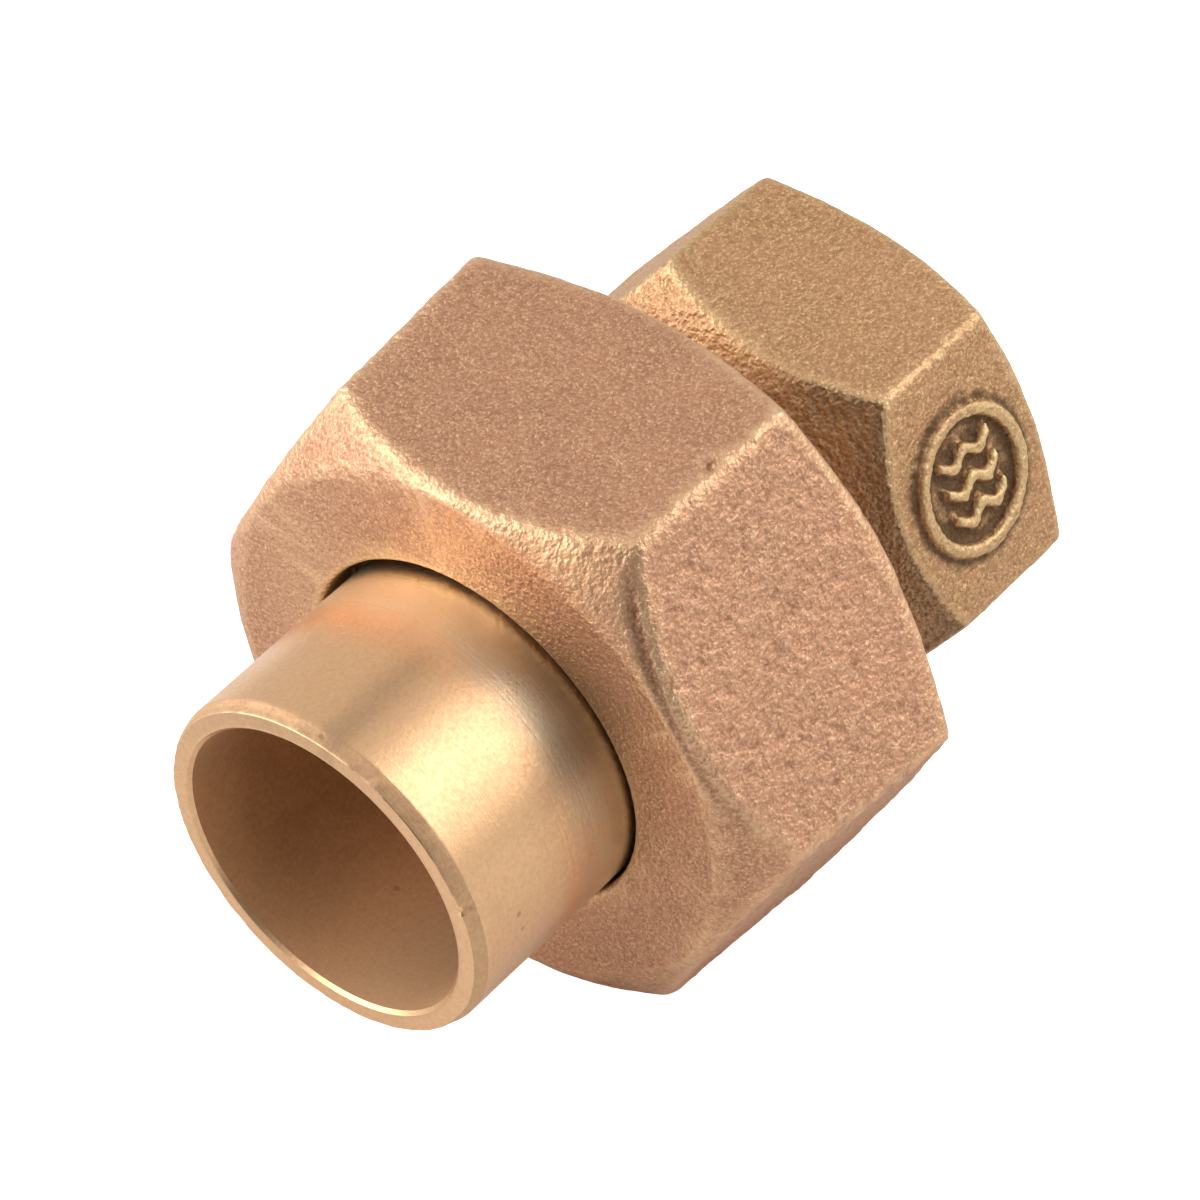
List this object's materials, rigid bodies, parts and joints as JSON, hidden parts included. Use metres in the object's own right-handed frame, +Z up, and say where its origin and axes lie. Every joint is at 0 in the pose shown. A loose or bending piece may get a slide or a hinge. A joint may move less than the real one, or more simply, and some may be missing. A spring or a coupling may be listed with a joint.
{
  "type": "pipe union",
  "caption": "Cast bronze ground-joint pipe union: hexagonal union nut joining a smooth solder-cup tailpiece to a hexagonal body with a female pipe thread.",
  "frame": {"origin": "on the bore's axis, half way between the solder cup's rim and the body's rear face", "axes": "+X along the bore's axis, out of the solder cup; +Z up, out of the nut's upper flat, with the union lying on the nut's lower flat; +Y completes the right-handed frame"},
  "size_m": [0.0566, 0.0507, 0.0442],
  "materials": {
    "cast_bronze_nut": "sand cast, tumbled, matt and granular",
    "cast_bronze_body": "sand cast, tumbled, matt and granular",
    "turned_bronze": "turned, satin"
  },
  "bodies": {
    "body": {"body": "cast_bronze_body"},
    "tailpiece": {"tailpiece": "turned_bronze"},
    "nut": {"union_nut": "cast_bronze_nut"}
  },
  "joints": [
    {"name": "tailpiece_slide", "type": "slide", "parent": "body", "child": "tailpiece", "axis": [1, 0, 0], "range_m": [0, 0.01101]},
    {"name": "nut_spin", "type": "hinge", "parent": "tailpiece", "child": "nut", "pos_m": [0.01305, 0, 0], "axis": [1, 0, 0], "range_deg": [0, 1980]}
  ],
  "couplings": [
    {"joint": "tailpiece_slide", "follows": "nut_spin", "m_per_rad": 0.00031831}
  ]
}
